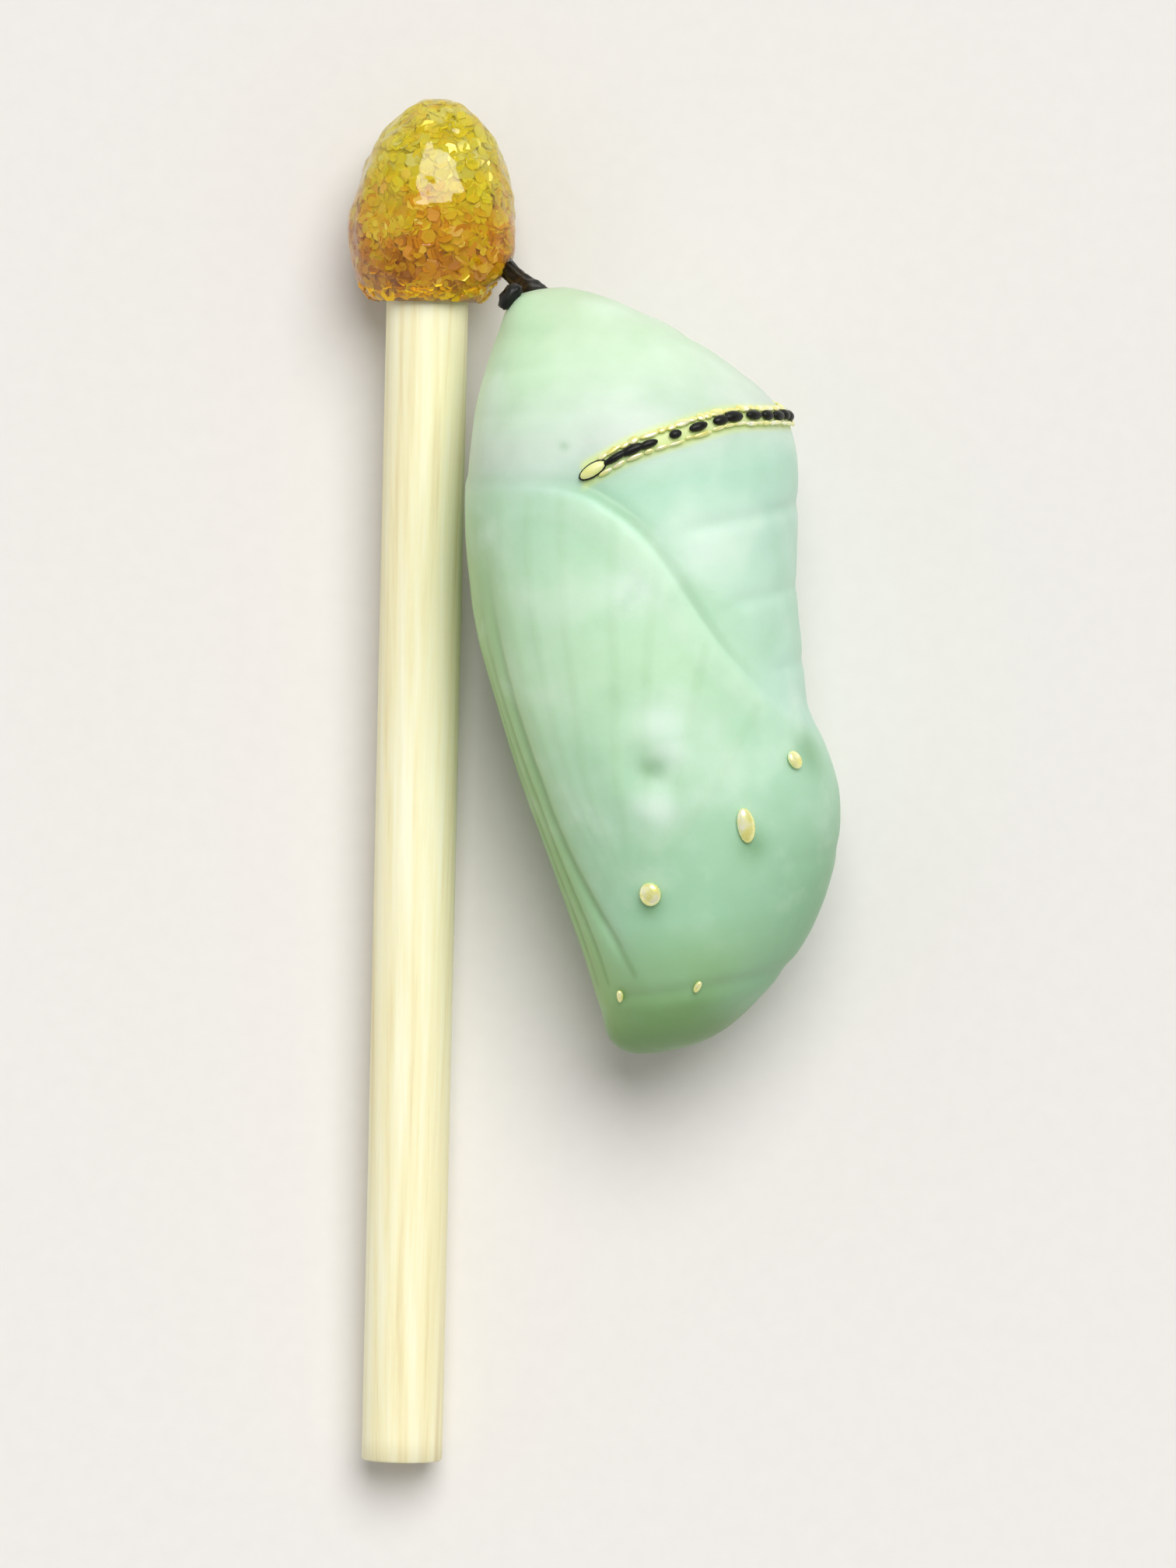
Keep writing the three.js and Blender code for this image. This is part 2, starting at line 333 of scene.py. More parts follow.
def wire(tree, socket, value):
    if isinstance(value, bpy.types.NodeSocket):
        tree.links.new(value, socket)
    else:
        socket.default_value = value


def fill_in(tree, shader, values):
    """Give a shader's inputs, by name, a link or a fixed value each."""
    for name, value in values.items():
        wire(tree, shader.inputs[name], value)


def add_node(tree, kind, output, inputs=(), **settings):
    """One node with its settings and inputs. Returns the named output."""
    node = tree.nodes.new("ShaderNode" + kind)
    for name, value in settings.items():
        setattr(node, name, value)
    for place, value in dict(inputs).items():
        wire(tree, node.inputs[place], value)
    return node.outputs[output]


def painted(tree, name):
    """A number stored on the mesh, such as the distance to an edge."""
    return add_node(tree, "Attribute", "Fac", attribute_name=name)


def between(tree, value, low, high, out_low=0.0, out_high=1.0):
    """Remap a value softly from low..high to out_low..out_high."""
    inputs = {"Value": value, "From Min": low, "From Max": high, "To Min": out_low, "To Max": out_high}
    return add_node(tree, "MapRange", "Result", inputs, interpolation_type="SMOOTHSTEP")


def maths(tree, operation, first, second=0.0):
    return add_node(tree, "Math", "Value", {0: first, 1: second}, operation=operation)


def mix(tree, factor, first, second):
    """Two colours mixed by a factor."""
    node = tree.nodes.new("ShaderNodeMix")
    node.data_type = "RGBA"
    wire(tree, node.inputs[0], factor)
    wire(tree, node.inputs[6], first)
    wire(tree, node.inputs[7], second)
    return node.outputs[2]


def ramp(tree, factor, *stops):
    """Colours given along a value, as (place, (red, green, blue))."""
    node = tree.nodes.new("ShaderNodeValToRGB")
    while len(node.color_ramp.elements) < len(stops):
        node.color_ramp.elements.new(0.5)
    for element, (place, colour) in zip(node.color_ramp.elements, stops):
        element.position, element.color = place, srgb(*colour)
    wire(tree, node.inputs["Fac"], factor)
    return node.outputs["Color"]


def stretched(tree, scale=(1, 1, 1), turn=(0, 0, 0)):
    """Object coordinates, turned and stretched for a pattern."""
    place = add_node(tree, "TexCoord", "Object")
    return add_node(tree, "Mapping", "Vector", {"Vector": place, "Scale": scale, "Rotation": turn})


def grainy(tree, vector, scale, detail=3.0, roughness=0.5):
    inputs = {"Vector": vector, "Scale": scale, "Detail": detail, "Roughness": roughness}
    return add_node(tree, "TexNoise", "Fac", inputs)


def bumped(tree, height, strength, depth):
    inputs = {"Height": height, "Strength": strength, "Distance": depth}
    return add_node(tree, "Bump", "Normal", inputs)


# %% [markdown]
# ## The bamboo stick
#
# A bamboo skewer is a bundle of fibres that was pulled through a round die. It is almost round, but its
# fibres leave fine flutes and streaks along it. A plain cylinder would look like plastic, so the stick is
# lofted, and each ring's corners are then pushed in a little by a noise that is the same all along a fibre.

# %% Model the stick
STICK_SIDES = 96
STICK_RINGS = 60
CUT_CHAMFER = 0.07
FLUTE_DEPTH = 0.05
FLUTES_AROUND = 2.6  # noise waves for each unit of the circle
FIBRE_DRIFT = 0.02  # how fast the flutes change along the stick
FINE_FLUTES = (0.5, 3, 7)  # share of the depth, times as many, and how far off in the noise

stick_places = np.linspace(-STICK_BARE + CUT_CHAMFER, STICK_SUNK, STICK_RINGS)
stick_rings = [(-STICK_BARE, 0, STICK_RADIUS - CUT_CHAMFER, STICK_RADIUS - CUT_CHAMFER)]
stick_rings += [(x, 0, STICK_RADIUS, STICK_RADIUS) for x in stick_places]
stick = loft("bamboo_stick", stick_rings, STICK_SIDES)

places = corners(stick)
for place in places:
    x, y, z = place
    around = Vector((y, z, 0)).normalized() * FLUTES_AROUND
    along = Vector((0, 0, x * FIBRE_DRIFT))
    share, times, off = FINE_FLUTES
    fibre = noise.noise(around + along) + share * noise.noise(around * times + along + Vector((0, 0, off)))
    place[1:] *= 1 - FLUTE_DEPTH / STICK_RADIUS * (0.5 + 0.5 * min(1, max(-1, fibre)))
move_corners(stick, places)
put_in_place(stick, bench_to_stick)

# %% [markdown]
# The stick's colour is a warm cream. Long fine noise, stretched forty times along the stick, gives the
# fibres: most are only a shade darker, and a few are tan, as the bundles of sap tubes are. The same noise
# gives the fine bump and makes the dark fibres a little rougher. On the cut end the stretch makes small
# dots.

# %% Finish the stick
ALONG_STICK = (1, 0.025, 1)
FIBRES = 2400  # waves in a metre
BUNDLES = 900
BAMBOO_CLOUDS = 160

bamboo, tree, shader = new_finish("bamboo")
grain_place = stretched(tree, ALONG_STICK, (-stick_tilt, 0, 0))
fibres = grainy(tree, grain_place, FIBRES, 4, 0.6)
bundles = grainy(tree, grain_place, BUNDLES, 2, 0.5)
cloud = grainy(tree, stretched(tree, (1, 0.3, 1)), BAMBOO_CLOUDS, 2)
cream = ramp(tree, fibres, (0.25, (230, 214, 164)), (0.45, (246, 238, 194)), (0.7, (253, 250, 220)))
tan = between(tree, bundles, 0.61, 0.72, 0, 0.55)
cream = mix(tree, tan, cream, srgb(196, 168, 106))
cream = mix(tree, between(tree, cloud, 0.4, 0.75, 0, 0.35), cream, srgb(233, 222, 168))
fill_in(tree, shader, {
    "Base Color": cream,
    "Roughness": between(tree, fibres, 0.3, 0.7, 0.62, 0.48),
    "Normal": bumped(tree, fibres, 0.35, 0.06 * MM),
    "Subsurface Weight": 0.15,
    "Subsurface Radius": (1, 0.7, 0.35),
    "Subsurface Scale": 0.4 * MM,
})
finish_piece(stick, bamboo, "bamboo", "skewer")

# %% [markdown]
# ## The drop of glue
#
# Hot glue was pressed on the tip and sagged a little before it set, so the drop is fullest low down, has
# soft lumps, and closes round the stick. It is lofted from inside out: the first rings are the wall of the
# socket that the stick sits in, then the lip, then the outside up to the tip. The lumps are pushed out in
# code, and the belly on which the part rests is left smooth. Glue also climbs what is pressed into it, so
# the drop bulges around the place where the chrysalis's stalk goes in.

# %% Model the drop
DROP_OUTLINE = [  # from the lip to the tip: height, half width
    (-0.45, 2.15), (0.35, 2.72), (1.4, 2.95), (2.6, 2.92), (3.8, 2.68), (4.9, 2.2), (5.75, 1.6), (6.3, 0.9),
    (6.5, 0.25),
]
SOCKET_RADIUS = 1.47
SOCKET_HEIGHTS = (STICK_SUNK + 0.1, STICK_SUNK, 2.5, 1.0, -0.3, -0.5)
DROP_LIP = [(-0.66, 1.55), (-0.7, 1.75), (-0.62, 1.95)]  # height, half width
DROP_LEAN = 0.045  # sideways, for each millimetre of height
DROP_SIDES = 24
LUMP_HEIGHT = 0.16
LUMPS = 0.75  # noise waves in a millimetre
FINE_LUMPS = (0.4, 3)  # share of the height, times as many
LUMP_LEVEL = 0.35  # how much of the lumps' height lies under the drop's own surface
SMOOTH_BELLY = (-0.9, -0.4)  # how far down the surface faces where the lumps end and where they are full
SOCKET_WALL = (0.3, 0.5)  # room beside the stick and past its tip that is left plain
SHRINK = -0.01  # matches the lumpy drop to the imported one
STALK_EXIT = (0.8, -2.35, 1.4)  # where the stalk leaves the drop, on the stick's bench
COLLAR = (0.5, 1.0)  # how far the glue climbs the stalk, and how far round it


def drop_ring(height, half):
    return (height, -DROP_LEAN * height, half, half)


drop_rings = [drop_ring(height, SOCKET_RADIUS) for height in SOCKET_HEIGHTS]
drop_rings += [drop_ring(*row) for row in (*DROP_LIP, *curve_through(DROP_OUTLINE, 2))]
drop = loft("glue_drop", drop_rings, DROP_SIDES)
subdivide(drop, 2)

places, normals = corners(drop), outward(drop)
table_side = normals[:, 2]
beside = np.hypot(places[:, 1] + DROP_LEAN * places[:, 0], places[:, 2]) > SOCKET_RADIUS + SOCKET_WALL[0]
past_tip = places[:, 0] > STICK_SUNK + SOCKET_WALL[1]
for i in np.flatnonzero(beside | past_tip):
    spot = Vector(places[i]) * LUMPS
    lump = noise.noise(spot) + FINE_LUMPS[0] * noise.noise(spot * FINE_LUMPS[1])
    lump *= smooth_step(table_side[i], *SMOOTH_BELLY)
    climb = COLLAR[0] * hump(np.linalg.norm(places[i] - STALK_EXIT), COLLAR[1])
    places[i] += normals[i] * (LUMP_HEIGHT * (lump - LUMP_LEVEL) - SHRINK + climb)
move_corners(drop, places)
put_in_place(drop, bench_to_stick)

# %% [markdown]
# The glue itself is clear and a little yellow, like the hot glue of a craft shop. It is real glass to the
# renderer: it bends the light, so the flakes inside seem to reach its edge. It also swallows a little blue
# and green on the way, so it looks nearly clear over the flakes and amber at the rim, where one looks
# through more of it. Only its skin wavers a little, from the bump.

# %% Finish the drop
GLUE_IOR = 1.47
GLUE_TINT = srgb(250, 226, 84)
GLUE_DENSITY = 620  # how fast it swallows light, for each metre
WAVERS = 700  # waves in a metre, as for every pattern below

clear_glue, tree, shader = new_finish("clear_glue")
waver = grainy(tree, stretched(tree), WAVERS, 3)
fill_in(tree, shader, {
    "Base Color": mix(tree, waver, srgb(255, 252, 240), srgb(255, 255, 252)),
    "Roughness": between(tree, waver, 0.3, 0.7, 0.02, 0.07),
    "Normal": bumped(tree, waver, 0.4, 0.15 * MM),
    "Transmission Weight": 1,
    "IOR": GLUE_IOR,
})
inside_glue = add_node(tree, "VolumeAbsorption", "Volume", {"Color": GLUE_TINT, "Density": GLUE_DENSITY})
tree.links.new(inside_glue, tree.nodes["Material Output"].inputs["Volume"])
finish_piece(drop, clear_glue, "glitter_glue", "glitter_glue")

# %% [markdown]
# ## The glitter
#
# Glitter is stirred into the glue so thickly that nothing shows behind it. So an opaque core lies just
# under the clear skin. It is a copy of the drop whose corners are moved inwards, less at the thin lip.

# %% Model the core
CORE_DEPTH = 0.34
LIP = (-0.5, 0.7)  # heights between which the core comes up to its full depth
THIN_SKIN = 0.03  # the clear skin's thickness at the lip
# Painted light and shade: darker amber low on the drop, lemon towards the tip, which faces the light.
SHADE_TO_LIGHT_HEIGHTS = (0.4, 5.0)  # heights between which the glitter turns from amber to lemon
GLITTER_GRAINS = 900


def skin_depth(height):
    """How thick the clear skin is at a height up the drop, in millimetres."""
    return THIN_SKIN + (CORE_DEPTH - THIN_SKIN) * smooth_step(height, *LIP)


def store(piece, name, values):
    """Keep one number for each vertex on the mesh, for the finish to read."""
    attribute = piece.data.attributes.new(name, "FLOAT", "POINT")
    attribute.data.foreach_set("value", np.asarray(values, np.float32))


pick(drop)
bpy.ops.object.duplicate()
core = bpy.context.object
core.name = core.data.name = "glitter_core"
core.data.transform(bench_to_stick.inverted())
places, normals = corners(core), outward(core)
move_corners(core, places - normals * skin_depth(places[:, 0])[:, None])
# The lemon share is painted light: it rises from the lip to the tip, which faces the light.
store(core, "lemon", smooth_step(places[:, 0], *SHADE_TO_LIGHT_HEIGHTS))
put_in_place(core, bench_to_stick)

amber, tree, shader = new_finish("packed_glitter")
depth = grainy(tree, stretched(tree), GLITTER_GRAINS, 4, 0.6)
# The core's colour is half grain and half painted light by height.
gold = maths(tree, "MULTIPLY", maths(tree, "ADD", depth, painted(tree, "lemon")), 0.5)
packed = ramp(
    tree, gold, (0.15, (176, 104, 2)), (0.4, (250, 188, 8)), (0.6, (255, 232, 24)), (0.85, (255, 250, 60))
)
fill_in(tree, shader, {
    "Base Color": packed,
    "Roughness": between(tree, depth, 0.3, 0.7, 0.5, 0.3),
    "Normal": bumped(tree, depth, 0.5, 0.12 * MM),
})
finish_piece(core, amber, "glitter_glue")

# %% [markdown]
# Craft glitter is cut from metallised film into tiny hexagons. They lie at all angles, some flat and some
# edge-on, which is why it sparkles. One thin hexagon is modelled by hand, with an inset on both sides that
# leaves it a bevelled edge. Its copies are then set over the core in code, at different depths in the clear
# skin, each with a tilt and a shade of its own, and joined in one mesh: particles would be lost in an
# export.

# %% Model one flake and scatter it
FLAKE_RADIUS = (0.08, 0.17)
FLAKE_THICKNESS = 0.02
FLAKE_BEVEL = (0.3, 0.6)  # inset and rise, before the hexagon is flattened
FLAKE_COUNT = 3800
FLAKE_TILT = 0.32  # how far they lean, typically
FLAKE_LIFT = (-0.1, 0.4)  # share of the clear skin's depth
# The height share is painted light: flakes are brighter and yellower towards the lit tip.
TINT_SHARES = (0.36, 0.5, 0.14)  # of a flake's tint: chance, its height, and the patch it lies in
PATCHES = 0.9  # brighter and darker patches in a millimetre
PATCH_EDGE = 0.35  # of the noise, from a dark patch to a bright one
FLAKE_MARGIN = (0.5, 0.6)  # from the socket's wall and from the stick's tip
scatter = random.Random(7)

clear_bench()
bpy.ops.mesh.primitive_cylinder_add(vertices=6, radius=1, depth=1, end_fill_type="NGON")
pattern = bpy.context.object
for face in pattern.data.polygons:
    face.select = abs(face.normal.z) > 0.5  # the two flat ends
bpy.ops.object.mode_set(mode="EDIT")
bpy.ops.mesh.select_mode(type="FACE")
bpy.ops.mesh.inset(thickness=FLAKE_BEVEL[0], depth=FLAKE_BEVEL[1])
bpy.ops.object.mode_set(mode="OBJECT")
number_by_place(pattern)
flake_corners = corners(pattern)
flake_faces = [list(face.vertices) for face in pattern.data.polygons]
bpy.data.objects.remove(pattern)

stick_axis = (bench_to_stick.to_3x3() @ Vector((1, 0, 0))).normalized()


def from_axis(place):
    """How far up the drop a place is, and how far from the stick's axis, in millimetres."""
    away = place - entry
    along = away.dot(stick_axis)
    return along / MM, (away - along * stick_axis).length / MM


def is_outside(face):
    along, away = from_axis(face.center)
    return away > SOCKET_RADIUS + FLAKE_MARGIN[0] or along > STICK_SUNK + FLAKE_MARGIN[1]


skin_faces = [face for face in core.data.polygons if is_outside(face)]
face_areas = [face.area for face in skin_faces]
flake_rows, face_rows, tints = [], [], []
for face in scatter.choices(skin_faces, weights=face_areas, k=FLAKE_COUNT):
    along, _ = from_axis(face.center)
    room = float(skin_depth(along))
    lean_room = min(1, room / CORE_DEPTH)
    radius = scatter.uniform(*FLAKE_RADIUS) * MM
    a, b, c = [core.data.vertices[i].co for i in list(face.vertices)[:3]]
    spot = face.center + (a - b) * scatter.uniform(-0.5, 0.5) + (c - b) * scatter.uniform(-0.5, 0.5)
    spot += face.normal * scatter.uniform(*FLAKE_LIFT) * room * MM
    lean = Vector([scatter.gauss(0, FLAKE_TILT) for _ in range(3)]) * lean_room
    facing = (face.normal + lean).normalized()
    turn = facing.to_track_quat("Z", "Y").to_matrix()
    turn @= Matrix.Rotation(scatter.uniform(0, math.pi), 3, "Z")
    stretch = np.array([radius, radius, FLAKE_THICKNESS * MM])
    first = len(flake_rows) * len(flake_corners)
    flake_rows.append((flake_corners * stretch) @ np.array(turn).T + np.array(spot))
    face_rows += [[first + i for i in row] for row in flake_faces]
    # Painted light by height: lighter towards the lit tip, darker amber towards the lip.
    lit_by_height = float(smooth_step(along, *SHADE_TO_LIGHT_HEIGHTS))
    by_patch = float(smooth_step(noise.noise(spot / MM * PATCHES), -PATCH_EDGE, PATCH_EDGE))
    tint = float(np.dot(TINT_SHARES, (scatter.random(), lit_by_height, by_patch)))
    tints += [tint] * len(flake_corners)

flake_mesh = bpy.data.meshes.new("glitter_flakes")
flake_mesh.from_pydata(np.vstack(flake_rows), [], face_rows)
flakes = bpy.data.objects.new("glitter_flakes", flake_mesh)
bpy.context.scene.collection.objects.link(flakes)
store(flakes, "tint", tints)
print("flakes:", len(flake_rows), "lowest at", in_mm(corners(flakes)[:, 2:].min(0)), "mm")

# %% [markdown]
# Each flake is a bright film with a little metal in it: pure metal would only mirror the room and look
# dull. Its tint runs from bronze over gold to lemon, partly at random and partly as painted light and
# shade: the flakes near the tip, which faces the light, are the yellowest and brightest, and those near the
# lip the darkest. A low roughness makes the tilted ones flash.

# %% Finish the glitter
gold_film, tree, shader = new_finish("gold_glitter")
tint = painted(tree, "tint")
film = ramp(
    tree, tint, (0.0, (184, 108, 2)), (0.25, (248, 178, 6)), (0.5, (255, 228, 16)),
    (0.75, (255, 248, 50)), (1.0, (255, 255, 160)),
)
fill_in(tree, shader, {
    "Base Color": film,
    "Roughness": between(tree, tint, 0, 1, 0.38, 0.24),
    "Metallic": between(tree, tint, 0.6, 1, 0, 0.2),
})
finish_piece(flakes, gold_film, "glitter_glue")
bpy.ops.object.shade_flat()

# %% [markdown]
# ## The chrysalis: its form
#
# Along its length the case goes from a narrow tip at the stalk, over the fat abdomen and a slight waist, to
# the hump of the thorax and the blunt head. The belly is nearly straight and the back is full. Each station
# gives the belly, the back and half the breadth at one place, `s` millimetres from the stalk.
#
# The loft takes a few dozen rings from the curve through the stations, and three levels of subdivision make
# the skin fine enough to carve.

# %% Loft the case
STATIONS = [  # s, belly, back, half breadth
    (-0.12, 0.05, 0.05, 0), (0.0, -0.5, 0.65, 0.55), (0.5, -1.05, 2.0, 1.5), (1.25, -1.45, 3.3, 2.5),
    (2.4, -2.1, 4.95, 3.65), (3.7, -2.7, 6.35, 4.6), (5.0, -3.1, 7.5, 5.25), (6.2, -3.4, 8.1, 5.55),
    (7.4, -3.62, 8.2, 5.68), (9.2, -3.82, 7.9, 5.7), (11.4, -3.88, 7.52, 5.58), (13.8, -3.66, 7.3, 5.38),
    (16.3, -3.28, 7.18, 5.15), (18.6, -2.88, 7.6, 4.95), (20.5, -2.5, 7.36, 4.62), (22.3, -2.15, 6.65, 4.15),
    (23.8, -1.92, 5.7, 3.6), (25.1, -1.72, 4.4, 2.95), (26.05, -1.5, 3.1, 2.25), (26.6, -1.05, 2.0, 1.45),
    (26.84, -0.4, 1.0, 0.7), (26.88, 0.3, 0.3, 0),
]
CASE_LENGTH = 27.0
SQUARENESS = 2.15
CASE_RINGS = 38
CASE_SIDES = 32

outline = curve_through(STATIONS)
travel = np.concatenate([[0], np.cumsum(np.hypot(np.diff(outline[:, 0]), np.diff(outline[:, 2])))])
ring_places = np.linspace(0, travel[-1], CASE_RINGS + 2)[1:-1]
ring_rows = np.stack([np.interp(ring_places, travel, column) for column in outline.T], -1)
case_rings = [(s, (belly + back) / 2, (back - belly) / 2, breadth) for s, belly, back, breadth in ring_rows]
case = loft("chrysalis_case", case_rings, CASE_SIDES, SQUARENESS)
subdivide(case, 3)
print("case:", len(case.data.vertices), "vertices")

# %% [markdown]
# ## A map of the case
#
# What is carved and painted on the case is placed by two numbers: `s`, the distance from the stalk, and the
# angle round the body, from 0 in the middle of the back to 180 in the middle of the belly. Both flanks use
# the same angles. `unrolled` turns them into millimetres, as if the case were laid out flat.

# %% Places on the case
FLANK_RADIUS = 5.1

case_places = corners(case)
case_s = case_places[:, 0]
half_deep = np.interp(case_s, outline[:, 0], (outline[:, 2] - outline[:, 1]) / 2)
half_broad = np.interp(case_s, outline[:, 0], outline[:, 3])
mid_line = np.interp(case_s, outline[:, 0], (outline[:, 2] + outline[:, 1]) / 2)
towards_back = (case_places[:, 1] - mid_line) / np.maximum(half_deep, MM)
towards_side = np.abs(case_places[:, 2]) / np.maximum(half_broad, MM)
case_angle = np.degrees(np.arctan2(towards_side, towards_back))


def unrolled(s, angle):
    return np.stack([s, np.radians(angle) * FLANK_RADIUS], -1)


def distance_to(points, s, angle):
    """Millimetres from each place to a curve through points of (s, angle)."""
    path = unrolled(*curve_through(points, 6).T)
    here = unrolled(s, angle)
    nearest = np.full(len(here), np.inf)
    for start, end in zip(path, path[1:]):
        along = end - start
        share = np.clip(((here - start) @ along) / (along @ along), 0, 1)
        nearest = np.minimum(nearest, np.linalg.norm(here - start - share[:, None] * along, axis=1))
    return nearest


# %% [markdown]
# ## Carving the case
#
# Under a lens the case shows the butterfly packed inside it. The wing cases cover the belly half like a
# folded cloak and end in a soft raised rim. Fine veins fan out over them. Between them, along the belly,
# lie the legs, the feelers and the tongue, each behind a shallow seam. Rings part the abdomen, and a low
# ridge carries the dark band. None of this needs new edges: the skin is fine enough to be pushed in and
# out, as with a sculpting brush whose strokes are written down.

# %% The strokes
WING_EDGE = [  # angle, s
    (0, 16.6), (19, 16.35), (34, 15.8), (45, 15.0), (54, 14.1), (62, 13.1), (69, 11.9), (76, 10.6),
    (84, 9.3), (92, 8.3), (100, 7.6), (108, 7.05), (125, 6.6), (150, 6.4), (180, 6.25),
]
VEINS = [  # each a few points of (s, angle)
    [(20.8, 128), (17, 137), (12, 140), (7.0, 141)],
    [(20.6, 125), (17, 130), (12, 129), (7.0, 128)],
    [(20.4, 122), (17, 123), (13.7, 118), (10, 115.5), (7.0, 115)],
    [(20.2, 117), (17, 110.5), (13.4, 102), (10, 98.5), (8.0, 97)],
    [(20.0, 112), (17.5, 101), (14, 92), (10.4, 84)],
    [(19.8, 106), (18, 92), (15.5, 80), (12.9, 69)],
    [(19.6, 99), (18.2, 83), (16.8, 67), (15.3, 52)],
]
SEAMS = [  # points of (s, angle), depth, half width: wing front, feeler, leg, tongue
    ([(6.8, 151), (14, 151), (17, 150.5), (19, 148.5), (21.2, 142), (22.9, 132), (23.9, 124)], 0.14, 0.3),
    ([(8.5, 159), (16, 159), (21, 154), (24.2, 146)], 0.06, 0.16),
    ([(12.5, 166.5), (18, 166.5), (24.2, 160)], 0.05, 0.16),
    ([(7.4, 174.5), (16, 174.5), (24.6, 173)], 0.07, 0.16),
]
RINGS = [  # s, angle at which the crease ends, depth
    (1.45, 181, 0.05), (2.6, 181, 0.05), (4.1, 181, 0.04), (8.9, 78, 0.06), (11.7, 62, 0.06),
    (14.3, 46, 0.05), (20.9, 60, 0.03), (24.7, 150, 0.08),
]
BAND = [(0, 5.95), (25, 5.65), (50, 5.4), (73, 5.6), (90, 5.88), (106, 6.43), (180, 9)]  # angle, s
BAND_END = 107
BAND_RIDGE = (0.09, 0.36)  # height, half width
WING_LEDGE = 0.24
LEDGE_LOSS = 0.17  # where the ledge crosses the belly
LEDGE_SLOPE = (0.24, 0.9)  # half width of the step on the flank, and near the back
WING_RIM = (0.06, 0.55, 0.42)  # height, how far inside the edge, half width
WING_GUTTER = (0.05, 0.28, 0.16)  # depth, how far outside the edge, half width
VEIN_RIDGE = (0.02, 0.18)  # height, half width
SEAM_FADE = (6, 1.6)  # lengths in which a seam deepens and ends
RING_CREASE = 0.3  # half width
RING_FADE = 12  # degrees in which a crease ends
BAND_FADE = 4  # degrees either side of the band's end
BACK_SIDE = (40, 76)  # degrees between which the back becomes the flank
BELLY_SIDE = (105, 140)  # and the flank the belly
RIM_END = (105, 125)
VEIN_END = (144, 150)
VEIN_START = (0.3, 1.2)  # how far inside the wing case's edge the veins begin
DIMPLE = (16.85, 97)
DIMPLE_DENT = (0.16, 0.6)  # depth, half width
DIMPLE_SWELL = (0.05, 1.3, 0.6)  # height, how far out, half width
HEAD_CAP = (25.3, 26.7)  # towards the end of the head the strokes fade
CAP_HEIGHT = 0.32


def band_line(angle):
    """Where the dark band runs: s at an angle round the body."""
    line = curve_through(BAND)
    return np.interp(np.abs(angle), line[:, 0], line[:, 1])


def wing_distance(s, angle):
    """Millimetres inside the wing case's edge, negative outside it."""
    edge = curve_through(WING_EDGE)
    points = [(at, turn) for turn, at in WING_EDGE]
    side = np.sign(s - np.interp(angle, edge[:, 0], edge[:, 1]))
    return side * distance_to(points, s, angle)


def nearest_of(paths, s, angle):
    """Millimetres to the nearest of some curves."""
    return np.min([distance_to(path, s, angle) for path in paths], axis=0)


def relief(s, angle):
    """Height of the carved skin over the plain form, in millimetres."""
    angle = np.abs(angle)
    inside = wing_distance(s, angle)
    on_belly = smooth_step(angle, *BELLY_SIDE)
    off_back = smooth_step(angle, *BACK_SIDE)
    slope = LEDGE_SLOPE[1] + (LEDGE_SLOPE[0] - LEDGE_SLOPE[1]) * off_back
    height = (WING_LEDGE - LEDGE_LOSS * on_belly) * smooth_step(inside / slope, -1, 1)
    rim, rim_at, rim_width = WING_RIM
    height += rim * hump(inside - rim_at, rim_width) * off_back * (1 - smooth_step(angle, *RIM_END))
    gutter, gutter_at, gutter_width = WING_GUTTER
    height -= gutter * hump(inside + gutter_at, gutter_width) * off_back * (1 - on_belly)
    on_wing = smooth_step(inside, *VEIN_START) * (1 - smooth_step(angle, *VEIN_END))
    height += VEIN_RIDGE[0] * hump(nearest_of(VEINS, s, angle), VEIN_RIDGE[1]) * on_wing
    on_band = 1 - smooth_step(angle, BAND_END - BAND_FADE, BAND_END + BAND_FADE)
    height += BAND_RIDGE[0] * hump(s - band_line(angle), BAND_RIDGE[1]) * on_band
    for path, depth, width in SEAMS:
        start, end = path[0][0], path[-1][0]
        length = smooth_step(s, start, start + SEAM_FADE[0]) * (1 - smooth_step(s, end - SEAM_FADE[1], end))
        height -= depth * length * hump(distance_to(path, s, angle), width)
    for at, turn, depth in RINGS:
        height -= depth * (1 - smooth_step(angle, turn - RING_FADE, turn)) * hump(s - at, RING_CREASE)
    away = np.linalg.norm(unrolled(s, angle) - unrolled(*DIMPLE), axis=-1)
    swell, swell_at, swell_width = DIMPLE_SWELL
    height += swell * hump(away - swell_at, swell_width) - DIMPLE_DENT[0] * hump(away, DIMPLE_DENT[1])
    return height + (CAP_HEIGHT - height) * smooth_step(s, *HEAD_CAP)


# %% [markdown]
# On top of the strokes comes a little unevenness, slow over the body and finer on the wings, so that the
# gloss wavers as it does on anything that grew. After that the case is put in place: it hangs off the stick
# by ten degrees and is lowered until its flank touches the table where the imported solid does.

# %% Carve and place the case
UNEVEN = (0.05, 0.32)  # height, waves a millimetre
FINE_UNEVEN = (0.012, 1.4)
SKIN_ROOM = 0.06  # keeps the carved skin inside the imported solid
FLOOR_ROOM = 0.01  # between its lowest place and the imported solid's

wobble = np.zeros(len(case_places))
for rise, waves in (UNEVEN, FINE_UNEVEN):
    wobble += [rise * noise.noise(Vector(place) * waves) for place in case_places]
carved = relief(case_s, case_angle) + wobble - SKIN_ROOM
move_corners(case, case_places + outward(case) * carved[:, None])

hang = Matrix.Rotation(HANG_ANGLE - math.pi / 2, 4, "Z")
turn_body = hang @ Matrix.Rotation(HEAD_DIP, 4, "Y") @ Matrix.Scale(MM, 4)
turned = corners(case) @ np.array(turn_body.to_3x3()).T
rest_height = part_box("chrysalis")[0].z - turned[:, 2].min() + MM * FLOOR_ROOM
body_top = Vector((entry.x + MM * TOP_OF_BODY[0], entry.y + MM * TOP_OF_BODY[1], rest_height))
bench_to_body = Matrix.Translation(body_top) @ turn_body
print("the stalk's root is", round(rest_height / MM, 2), "mm over the table")
